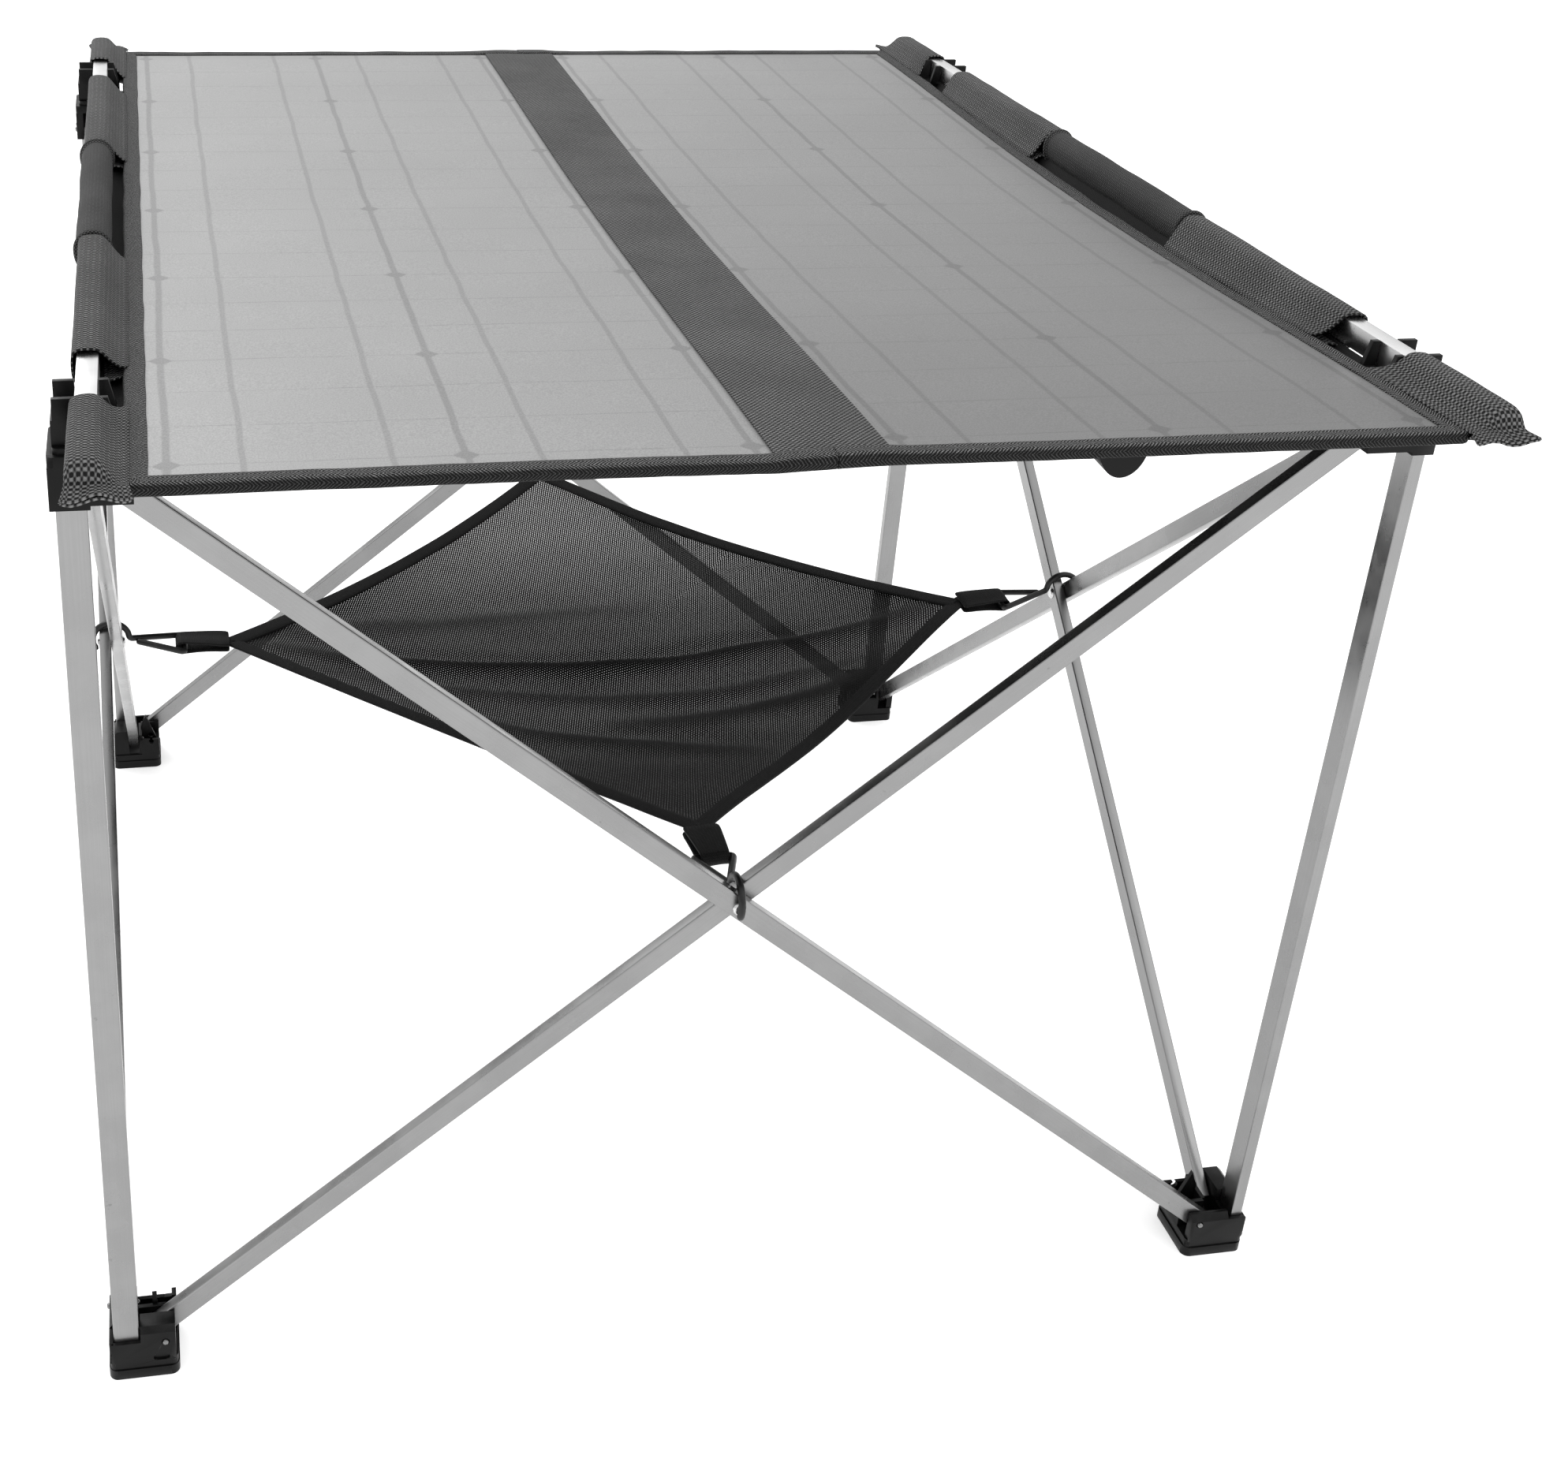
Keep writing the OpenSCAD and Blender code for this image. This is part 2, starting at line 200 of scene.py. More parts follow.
def aluminium(name, grey, rough, streaks=0.5):
    """Extruded satin aluminium: faint die lines along the tube, smudges and small dark marks."""
    p = Paint(name, Metallic=1.0)
    across, along = p.cloth()
    lines = p.noise(1.0, 2, vector=p.place(p.math("MULTIPLY", across, 1500), p.math("MULTIPLY", along, 9)))
    smudge = p.noise(24, 4, 0.6)
    fine = p.noise(420, 2)
    marks = p.between(p.noise(130, 3, 0.7), 0.70, 0.76)
    colour = p.mix(p.between(smudge, 0.35, 0.7), grey * 0.93, grey * 1.05)
    colour = p.mix(p.math("MULTIPLY", p.between(lines, 0.35, 0.65), 0.35 * streaks), colour, grey * 0.8)
    colour = p.mix(p.math("MULTIPLY", marks, 0.45), colour, grey * 0.45)
    roughness = p.between(smudge, 0.3, 0.7, rough - 0.05, rough + 0.09)
    height = p.math("ADD", p.math("MULTIPLY", lines, streaks), p.math("MULTIPLY", fine, 0.35))
    return p.finish(Base_Color=colour, Roughness=roughness, Normal=p.bump(height, 0.02 * MM, 0.6))


def moulded_plastic(name, grey=0.003, rough=0.34):
    """Black glass-filled plastic: fine moulded grain, scuffs and a little dust on what faces up."""
    p = Paint(name, Specular_IOR_Level=0.16)
    grain = p.noise(2600, 2, 0.6)
    scuffs = p.between(p.noise(95, 5, 0.75), 0.56, 0.72)
    facing = p.make("SeparateXYZ", {0: p.make("NewGeometry").outputs["Normal"]}).outputs[2]
    dust = p.math("MULTIPLY", p.between(facing, 0.3, 0.95), p.between(p.noise(160, 4), 0.4, 0.65))
    colour = p.mix(p.math("MULTIPLY", scuffs, 0.35), grey, grey * 2.4)
    colour = p.mix(p.math("MULTIPLY", dust, 0.10), colour, 0.06)
    roughness = p.between(p.noise(38, 4), 0.3, 0.7, rough - 0.06, rough + 0.1)
    return p.finish(Base_Color=colour, Roughness=roughness, Normal=p.bump(grain, 0.05 * MM, 0.5))


def plain_weave(name, thread, dark, light, rib=0.35, depth=0.22 * MM, rough=0.78):
    """Coarse woven polyester: threads over and under each other, heavier along one way. The threads' crowns
    are painted lighter and the hollows between them darker, as painted highlight and shade.
    """
    p = Paint(name, Roughness=rough, Specular_IOR_Level=0.22)
    across, along = p.cloth()
    wander = p.math("MULTIPLY", p.math("SUBTRACT", p.noise(70, 2), 0.5), thread * 0.9)
    ripple = p.math("MULTIPLY", p.math("SUBTRACT", p.noise(900, 1), 0.5), thread * 0.5)
    u, v = p.math("ADD", across, wander), p.math("ADD", p.math("ADD", along, wander), ripple)
    cross = p.math("MULTIPLY", p.wave(u, 2 * thread), p.wave(v, 2 * thread))
    height = p.math("ADD", cross, p.math("MULTIPLY", p.wave(v, 2 * thread), rib))
    lint = p.between(p.noise(1900, 2, 0.7), 0.62, 0.8)
    shade = p.between(p.noise(14, 4), 0.3, 0.7, 0.85, 1.12)
    # painted highlight and shade: thread crowns lighter, hollows darker
    colour = p.mix(p.between(height, -0.45, 0.85), dark, light)
    colour = p.mix(p.math("MULTIPLY", lint, 0.25), colour, light * 1.9)
    bright = p.make("HueSaturation", {"Value": shade, "Color": colour}).outputs[0]
    return p.finish(Base_Color=bright, Normal=p.bump(height, depth, 1.0))


def herringbone(name, pitch=1.8 * MM, column=4.2 * MM, dark=0.003, light=0.24):
    """Edge tape: diagonal cords that turn back at each column. Their crowns are painted lighter and the
    hollows between them darker, as painted highlight and shade, and past the edge, where the tape turns down
    and under, it is drawn darker as painted shade.
    """
    p = Paint(name, Roughness=0.75, Specular_IOR_Level=0.2)
    across, along = p.cloth()
    zigzag = p.math("PINGPONG", across, column)
    wander = p.math("MULTIPLY", p.math("SUBTRACT", p.noise(240, 3, 0.6), 0.5), pitch * 1.2)
    cords = p.wave(p.math("ADD", p.math("ADD", along, p.math("MULTIPLY", zigzag, 1.1)), wander), pitch)
    beads = p.wave(p.math("SUBTRACT", p.math("ADD", along, wander), zigzag), pitch * 0.8)
    height = p.math("ADD", cords, p.math("MULTIPLY", beads, 0.35))
    fuzz = p.between(p.noise(1500, 2, 0.7), 0.3, 0.7, 0.7, 1.25)
    # painted highlight and shade: cord crowns lighter, hollows between them darker
    colour = p.mix(p.between(height, -0.3, 1.1), dark, light)
    # painted shade: the tape's faces past the edge, down its front and under it, are drawn darker
    turned = p.between(across, 9.8 * MM, 11.2 * MM, 1.0, 0.22)
    bright = p.make("HueSaturation", {"Value": p.math("MULTIPLY", fuzz, turned), "Color": colour}).outputs[0]
    return p.finish(Base_Color=bright, Normal=p.bump(height, 0.35 * MM, 1.0))


def solar_surface(name, near_left, near_right, far_left, far_right):
    """Cells under a matt stippled film, whose outlines, two bus bars and three strips show faintly.
    Its grey runs between four greys given for its corners. They stand in for the
    uneven light that the film reflects, so they stay with the panel in every view."""
    p = Paint(name, Coat_Weight=0.25, Coat_Roughness=0.42)
    across, along = p.cloth()
    bend = p.math("MULTIPLY", p.math("SUBTRACT", p.noise(16, 2), 0.5), 3.2 * MM)
    u = p.math("FRACT", p.math("DIVIDE", p.math("ADD", across, bend), CELL_W))
    v = p.math("FRACT", p.math("DIVIDE", p.math("ADD", along, bend), CELL_L))
    place = p.make("SeparateXYZ", {0: p.rest()}).outputs
    side = p.between(p.math("ABSOLUTE", place[0]), 0.03, 0.29, smooth=False)
    back = p.between(place[1], -0.38, 0.38, smooth=False)
    # painted reflection: the grey runs between four corner greys that stand for the uneven light on the film
    grey = p.mix(back, p.mix(side, near_left, near_right), p.mix(side, far_left, far_right))

    def toned(colour, value):
        return p.make("HueSaturation", {"Value": value, "Color": colour}).outputs[0]

    def line(value, at, half):
        return p.between(p.math("ABSOLUTE", p.math("SUBTRACT", value, at)), half * 0.4, half, 1.0, 0.0)

    def both(a, b):
        return p.math("MAXIMUM", a, b)

    from_edge_u = p.math("SUBTRACT", 0.5, p.math("ABSOLUTE", p.math("SUBTRACT", u, 0.5)))
    from_edge_v = p.math("SUBTRACT", 0.5, p.math("ABSOLUTE", p.math("SUBTRACT", v, 0.5)))
    gap_u = p.between(from_edge_u, 0.008, 0.018, 1.0, 0.0)
    gap_v = p.between(from_edge_v, 0.002, 0.006, 1.0, 0.0)
    corner = p.between(p.math("ADD", from_edge_u, from_edge_v), 0.040, 0.056, 1.0, 0.0)
    bars = both(line(u, 0.25, 0.016), line(u, 0.75, 0.016))
    strips = both(line(v, 1 / 3, 0.0055), line(v, 2 / 3, 0.0055))
    broken = p.between(p.noise(45, 3), 0.35, 0.6, 0.45, 1.0)
    stipple = p.noise(1300, 2, 0.55)
    cloudy = p.noise(9, 4, 0.6)
    base = toned(grey, p.between(cloudy, 0.3, 0.7, 0.97, 1.03))
    base = toned(base, p.between(stipple, 0.3, 0.7, 0.86, 1.16))
    marks = both(p.math("MULTIPLY", gap_u, 0.29), p.math("MULTIPLY", corner, 0.32))
    marks = both(marks, p.math("MULTIPLY", bars, 0.22))
    marks = both(marks, p.math("MULTIPLY", p.math("MULTIPLY", both(strips, gap_v), broken), 0.20))
    colour = toned(base, p.math("SUBTRACT", 1.0, marks))
    specks = p.between(p.noise(700, 2, 0.5), 0.74, 0.8)
    colour = toned(colour, p.math("ADD", 1.0, p.math("MULTIPLY", specks, 0.5)))
    normal = p.bump(stipple, 0.12 * MM, 0.9, p.bump(p.noise(60, 2), 0.12 * MM, 0.5))
    return p.finish(Base_Color=colour, Roughness=0.5, Specular_IOR_Level=0.4, Normal=normal)


def open_mesh(name, pitch=1.75 * MM):
    """Knitted mesh: round holes in offset rows through black yarn. Folded cloth lets less through, and the
    same attribute also closes the holes as painted shade on the creases and over the shelf's middle and
    front.
    """
    p = Paint(name, Roughness=0.6, Specular_IOR_Level=0.1)
    across, along = p.cloth()
    row = pitch * math.sqrt(3)
    first = p.math("ADD", p.wave(across, pitch), p.wave(along, row))
    second = p.math("ADD", p.wave(across, pitch, math.pi), p.wave(along, row, math.pi))
    hole = p.math("MAXIMUM", first, second)
    # painted shade: this attribute holds the folds' share plus a painted shade ramp, and closes the holes
    # where it is high
    folds_and_painted_shade = p.make("Attribute", attribute_name="folds_and_painted_shade").outputs["Fac"]
    limit = p.math("ADD", MESH_OPEN, p.math("MULTIPLY", folds_and_painted_shade, 0.3))
    gap = p.math("MULTIPLY", p.math("SUBTRACT", hole, limit), 3.0)
    open_share = p.make("Clamp", {0: gap}).outputs[0]
    # painted shade: the yarn is drawn darker toward the rim of each hole
    colour = p.mix(p.between(hole, 0.2, 1.6), 0.006, 0.002)
    p.finish(Base_Color=colour, Normal=p.bump(hole, 0.12 * MM, 0.7))
    clear = p.make("BsdfTransparent").outputs[0]
    blend = p.make("MixShader", {0: open_share, 1: p.surface.outputs[0], 2: clear})
    p.plug(p.output.inputs[0], blend.outputs[0])
    return p.material


def webbing(name, grey=0.005):
    """Narrow-ribbed black tape. Its rib crowns are painted lighter and the hollows darker, as painted
    highlight and shade.
    """
    p = Paint(name, Roughness=0.7, Specular_IOR_Level=0.2)
    across, along = p.cloth()
    ribs = p.wave(along, 1.1 * MM)
    cross = p.math("MULTIPLY", ribs, p.wave(across, 1.5 * MM))
    height = p.math("ADD", p.math("MULTIPLY", ribs, 0.6), cross)
    tone = p.between(p.noise(60, 3), 0.3, 0.7, 0.8, 1.3)
    # painted highlight and shade: rib crowns lighter, hollows darker
    colour = p.mix(p.between(height, -0.5, 1.4), grey * 0.5, grey * 2.0)
    bright = p.make("HueSaturation", {"Value": tone, "Color": colour}).outputs[0]
    return p.finish(Base_Color=bright, Normal=p.bump(height, 0.15 * MM, 0.8))


def coated_wire(name):
    """Black dipped vinyl on steel wire, dull with rubbed spots."""
    p = Paint(name, Specular_IOR_Level=0.35)
    rubbed = p.between(p.noise(130, 4, 0.7), 0.52, 0.72)
    colour = p.mix(rubbed, 0.006, 0.02)
    height = p.noise(700, 3, 0.6)
    return p.finish(Base_Color=colour, Roughness=p.between(rubbed, 0, 1, 0.38, 0.55),
                    Normal=p.bump(height, 0.06 * MM, 0.6))


def bright_rivet(name, grey=0.62):
    """Domed steel rivet head: plated and finely spotted."""
    p = Paint(name, Metallic=1.0)
    spots = p.between(p.noise(1500, 3, 0.7), 0.55, 0.75)
    colour = p.mix(p.math("MULTIPLY", spots, 0.5), grey, grey * 0.5)
    return p.finish(Base_Color=colour, Roughness=p.between(p.noise(500, 3), 0.3, 0.7, 0.2, 0.34),
                    Normal=p.bump(p.noise(900, 2), 0.03 * MM, 0.5))


def pale_floor(name):
    p = Paint(name, Roughness=0.9, Specular_IOR_Level=0.1)
    colour = p.mix(p.noise(1.5, 3), 0.80, 0.82)
    normal = p.bump(p.noise(40, 3), 0.5 * MM, 0.1)
    return p.finish(Base_Color=colour, Normal=normal, Emission_Color=1.0, Emission_Strength=0.55)


PAINT = {
    "tube_aluminium": aluminium("tube_aluminium", 0.285, 0.27),
    "rail_aluminium": aluminium("rail_aluminium", 0.86, 0.26, 0.35),
    "corner_plastic": moulded_plastic("corner_plastic"),
    "box_plastic": moulded_plastic("box_plastic", 0.003, 0.36),
    "rivet_metal": bright_rivet("rivet_metal"),
    "pin_metal": bright_rivet("pin_metal", 0.22),
    "hook_wire": coated_wire("hook_wire"),
    "webbing": webbing("webbing"),
    "hem": webbing("hem", 0.004),
    "shelf_mesh": open_mesh("shelf_mesh"),
    # The two panels are the same film; their different corner greys are painted reflection, lighter on the
    # left panel and darker at the right panel's front.
    "solar_panel_left": solar_surface("solar_panel_left", 0.240, 0.325, 0.255, 0.305),
    "solar_panel_right": solar_surface("solar_panel_right", 0.155, 0.128, 0.275, 0.205),
    "cover_fabric": plain_weave("cover_fabric", 1.4 * MM, 0.004, 0.195, 0.5, 0.35 * MM),
    "strip_fabric": plain_weave("strip_fabric", 1.35 * MM, 0.005, 0.205, 0.0, 0.35 * MM),
    "lining": plain_weave("lining", 0.8 * MM, 0.002, 0.012, 0.1, 0.1 * MM),
    "grip_fabric": plain_weave("grip_fabric", 0.95 * MM, 0.006, 0.095, 0.5, 0.15 * MM),
    "edge_tape": herringbone("edge_tape"),
}


# ---------------------------------------------------------------- mesh building


def new_piece(name, mesh, paint):
    """An object of that mesh and paint, in the scene."""
    piece = bpy.data.objects.new(name, mesh)
    bpy.context.scene.collection.objects.link(piece)
    mesh.materials.clear()
    mesh.materials.append(PAINT[paint])
    return piece


def shade(mesh, angle=38):
    mesh.shade_smooth()
    mesh.set_sharp_from_angle(angle=math.radians(angle))


def running(points):
    """Distance along a line of points, from 0."""
    steps = np.linalg.norm(np.diff(points, axis=0), axis=1)
    return np.concatenate([[0.0], np.cumsum(steps)])


def surface(name, rows, paint, wrap=False, ring=False, caps=False, thickness=0.0, smooth=38, flip=False):
    """A piece from rows of points. Each row closes on itself if wrap, and the last meets the first if ring.
    Its UV is the distance across and along the piece, in metres."""
    rows = np.asarray(rows, float)
    n_rows, n_cols = rows.shape[:2]
    wide = np.concatenate([rows, rows[:, :1]], axis=1) if wrap else rows
    long = np.concatenate([wide, wide[:1]], axis=0) if ring else wide
    u = np.mean([running(row) for row in long[:: max(1, len(long) // 9)]], axis=0)
    v = np.mean([running(long[:, j]) for j in range(0, long.shape[1], max(1, long.shape[1] // 9))], axis=0)
    faces, corners = [], []
    for i in range(len(v) - 1):
        for j in range(len(u) - 1):
            at = [(i, j), (i, j + 1), (i + 1, j + 1), (i + 1, j)]
            if flip:
                at.reverse()
            faces.append([(a % n_rows) * n_cols + b % n_cols for a, b in at])
            corners += [(u[b], v[a]) for a, b in at]
    if caps:
        for i, order in ((0, range(n_cols)), (n_rows - 1, reversed(range(n_cols)))):
            order = list(order)
            faces.append([i * n_cols + j for j in order])
            corners += [(u[j], v[i]) for j in order]
    mesh = bpy.data.meshes.new(name)
    mesh.from_pydata(rows.reshape(-1, 3).tolist(), [], faces)
    layer = mesh.uv_layers.new(name="UVMap")
    layer.data.foreach_set("uv", np.array(corners, np.float32).ravel())
    if wrap:
        made = bmesh.new()
        made.from_mesh(mesh)
        bmesh.ops.recalc_face_normals(made, faces=made.faces)
        made.to_mesh(mesh)
        made.free()
    shade(mesh, smooth)
    piece = new_piece(name, mesh, paint)
    if thickness:
        thick = piece.modifiers.new("thickness", "SOLIDIFY")
        thick.thickness, thick.offset, thick.use_even_offset = thickness, -1, True
    return piece


def smoothed(piece, levels=1):
    """Subdivides a piece before its thickness is added."""
    soft = piece.modifiers.new("smooth", "SUBSURF")
    soft.levels = soft.render_levels = levels
    if len(piece.modifiers) > 1:
        piece.modifiers.move(len(piece.modifiers) - 1, 0)
    return piece


def refined(node, paint, width, segments=2, min_edge=1.5 * MM, angle=32):
    """A copy of a CAD node with its long edges rounded over, which stands for the node."""
    source = frame["nodes"][node]
    made = bmesh.new()
    made.from_mesh(source.data)
    bmesh.ops.remove_doubles(made, verts=made.verts, dist=0.005 * MM)
    bmesh.ops.dissolve_limit(made, angle_limit=math.radians(1.5), verts=made.verts, edges=made.edges)
    sharp = math.radians(angle)
    edges = [
        e for e in made.edges
        if e.is_manifold and e.calc_length() > min_edge and abs(e.calc_face_angle_signed(0)) > sharp
    ]
    bmesh.ops.bevel(made, geom=edges, offset=width, segments=segments, profile=0.5, affect="EDGES",
                    clamp_overlap=True)
    bmesh.ops.remove_doubles(made, verts=made.verts, dist=0.002 * MM)
    mesh = bpy.data.meshes.new(node + "_part")
    made.to_mesh(mesh)
    made.free()
    unwrap_along(mesh)
    shade(mesh, 30)
    piece = new_piece(node + "_part", mesh, paint)
    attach(piece, source["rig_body"])
    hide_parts(node)
    return piece


def loose_boxes(node):
    """The (low, high) corners of each separate solid of a CAD node."""
    made = bmesh.new()
    made.from_mesh(frame["nodes"][node].data)
    bmesh.ops.remove_doubles(made, verts=made.verts, dist=0.005 * MM)
    boxes = []
    seen = set()
    for first in made.verts:
        if first.index in seen:
            continue
        group, queue = [], [first]
        seen.add(first.index)
        while queue:
            vert = queue.pop()
            group.append(vert.co.copy())
            for edge in vert.link_edges:
                other = edge.other_vert(vert)
                if other.index not in seen:
                    seen.add(other.index)
                    queue.append(other)
        low = Vector([min(p[i] for p in group) for i in range(3)])
        high = Vector([max(p[i] for p in group) for i in range(3)])
        boxes.append((low, high))
    made.free()
    return boxes


def pins(node, radius, sides=20):
    """Small domed pins on the axes of a corner's rivets, which stand for the node. Their heads are drawn
    smaller than the part's."""
    made = bmesh.new()
    for low, high in loose_boxes(node):
        size = high - low
        axis = 0 if size.x > size.y else 1
        middle = (low + high) / 2
        along = Vector((1, 0, 0)) if axis == 0 else Vector((0, 1, 0))
        across = Vector((0, 0, 1))
        third = along.cross(across)
        half = size[axis] / 2
        profile = [(-half, 0.25), (-half + 0.25 * MM, 0.75), (-half + 0.8 * MM, 1.0),
                   (half - 0.8 * MM, 1.0), (half - 0.25 * MM, 0.75), (half, 0.25)]
        rings = [
            [made.verts.new(middle + along * d + (across * math.cos(a) + third * math.sin(a)) * radius * r)
             for a in np.linspace(0, 2 * math.pi, sides, endpoint=False)]
            for d, r in profile
        ]
        for one, two in zip(rings, rings[1:]):
            for i in range(sides):
                made.faces.new((one[i], one[(i + 1) % sides], two[(i + 1) % sides], two[i]))
        made.faces.new(rings[0][::-1])
        made.faces.new(rings[-1])
    bmesh.ops.recalc_face_normals(made, faces=made.faces)
    mesh = bpy.data.meshes.new(node + "_part")
    made.to_mesh(mesh)
    made.free()
    unwrap_along(mesh)
    shade(mesh, 50)
    piece = new_piece(node + "_part", mesh, "pin_metal")
    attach(piece, frame["nodes"][node]["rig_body"])
    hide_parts(node)


def unwrap_along(mesh):
    """UV in metres, with its second number along the piece's longest direction."""
    co = np.zeros(len(mesh.vertices) * 3)
    mesh.vertices.foreach_get("co", co)
    co = co.reshape(-1, 3)
    spread = np.cov((co - co.mean(0)).T)
    axes = np.linalg.eigh(spread)[1]
    loops = np.zeros(len(mesh.loops), int)
    mesh.loops.foreach_get("vertex_index", loops)
    local = co[loops] @ axes
    layer = mesh.uv_layers[0] if mesh.uv_layers else mesh.uv_layers.new(name="UVMap")
    layer.name = "UVMap"
    uv = np.stack([local[:, 0] + local[:, 1], local[:, 2]], axis=1)
    layer.data.foreach_set("uv", uv.astype(np.float32).ravel())


def filleted(points, radius, steps=6):
    """A line through the points with its corners rounded."""
    points = [Vector(p) for p in points]
    line = [points[0]]
    for before, here, after in zip(points, points[1:], points[2:]):
        cut = min(radius, (here - before).length * 0.48, (after - here).length * 0.48)
        a = here + (before - here).normalized() * cut
        b = here + (after - here).normalized() * cut
        for k in range(steps + 1):
            t = k / steps
            line.append(a * (1 - t) ** 2 + here * 2 * t * (1 - t) + b * t ** 2)
    return line + [points[-1]]


def wire(name, line, radius, paint, sides=14):
    """A round wire along a line, with domed ends."""
    line = [Vector(p) for p in line]
    steps = [(b - a).normalized() for a, b in zip(line, line[1:])]
    tangents = [steps[0]] + [(a + b).normalized() for a, b in zip(steps, steps[1:])] + [steps[-1]]
    side = tangents[0].orthogonal().normalized()
    stations = []
    for p, t in zip(line, tangents):
        side = (side - t * side.dot(t)).normalized()
        stations.append((p, side, t.cross(side), radius))

    def dome(station, outward):
        p, s, t, r = station
        lifts = [math.radians(a) for a in (84, 62, 38, 16)]
        return [(p + outward * r * math.sin(a), s, t, r * math.cos(a)) for a in lifts]

    start = dome(stations[0], -tangents[0])
    end = dome(stations[-1], tangents[-1])
    around = np.linspace(0, 2 * math.pi, sides, endpoint=False)
    rows = [
        [p + (s * math.cos(a) + t * math.sin(a)) * r for a in around]
        for p, s, t, r in start + stations + end[::-1]
    ]
    return surface(name, rows, paint, wrap=True, caps=True, smooth=60)


def tape(name, path, inward, profile, paint, wobble=None):
    """A folded tape along a path. inward points into the sheet, and profile is (inward, up)."""
    rows = []
    for p, n in zip(path, inward):
        rows.append([p + n * d + Vector((0, 0, h)) + (wobble(p, d, h) if wobble else Vector())
                     for d, h in profile])
    return surface(name, rows, paint, wrap=True, caps=True, smooth=50)


# ---------------------------------------------------------------- solar top


def top_drop(x, y):
    """How far the top hangs below its flat height: it sags between its ends, more on the right."""
    depth = (6.2 + 2.4 * max(-1.0, min(1.0, x / EDGE_X))) * MM
    ends = math.cos(math.pi / 2 * min(1.0, abs(y) / END_Y)) ** 1.6
    near_middle = max(0.0, 1 - abs(x) / 0.15) ** 2
    front = max(0.0, -y / END_Y) ** 2
    twist = (1.5 if x < 0 else -0.9) * MM * min(1.0, abs(x) / STRIP_HALF)
    return depth * ends + twist * near_middle * front


def top_z(x, y):
    return TOP_Z - top_drop(x, y)


def layer(name, x0, x1, y_end, lift, thickness, paint, columns=28, rows=96, camber=None):
    """A closed flat layer of the top from x0 to x1, whose upper face is lift above the panels' surface."""
    ys = np.linspace(-y_end, y_end, rows)
    xs = np.linspace(x0, x1, columns)
    rings = []
    for y in ys:
        upper = [Vector((x, y, top_z(x, y) + lift + (camber(x, y) if camber else 0))) for x in xs]
        lower = [p - Vector((0, 0, thickness)) for p in upper]
        rings.append(upper + lower[::-1])
    return surface(name, rings, paint, wrap=True, caps=True, smooth=40)


def solar_panel(half, sign):
    inner, outer = STRIP_HALF - 2.5 * MM, EDGE_X - TAPE_W + 1.2 * MM
    x0, x1 = sorted((sign * inner, sign * outer))
    y_end = PANEL_HIGH.y + 1.5 * MM
    piece = layer(f"solar_panel_{half}_film", x0, x1, y_end, 0.0, 1.7 * MM, f"solar_panel_{half}")
    centre_cells(piece, x0, x1)
    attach(piece, f"top_{half}")
    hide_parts(f"solar_panel_{half}")


def centre_cells(piece, x0, x1):
    """Starts the cell pattern so that its two columns and six rows sit in the middle of the panel."""
    uv = piece.data.uv_layers[0].data
    loops = piece.data.loops
    middle = (x0 + x1) / 2
    for k, loop in enumerate(loops):
        co = piece.data.vertices[loop.vertex_index].co
        uv[k].uv = (co.x - middle + 10 * CELL_W, co.y + 10 * CELL_L)


def cover_sheet(half, sign):
    x0, x1 = sorted((sign * 1.2 * MM, sign * (EDGE_X - 1.0 * MM)))
    piece = layer(f"top_cover_{half}_sheet", x0, x1, END_Y - 1.0 * MM, -1.9 * MM, 1.5 * MM, "lining", 20, 64)
    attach(piece, f"top_{half}")
    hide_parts(f"top_cover_{half}")
    return piece


# Cross-section of the folded edge tape: (inward from the cover's edge, above the panels' surface)
TAPE_PROFILE = [
    (d * MM, h * MM)
    for d, h in ((10.2, 0.1), (9.9, 0.9), (8.6, 1.25), (6.0, 1.35), (3.4, 1.35), (1.4, 1.15), (0.3, 0.5),
                 (-0.1, -0.8), (0.0, -2.6), (0.4, -4.1), (1.5, -5.0), (3.6, -5.3), (6.8, -5.1), (9.4, -4.6),
                 (9.8, -3.9))
]


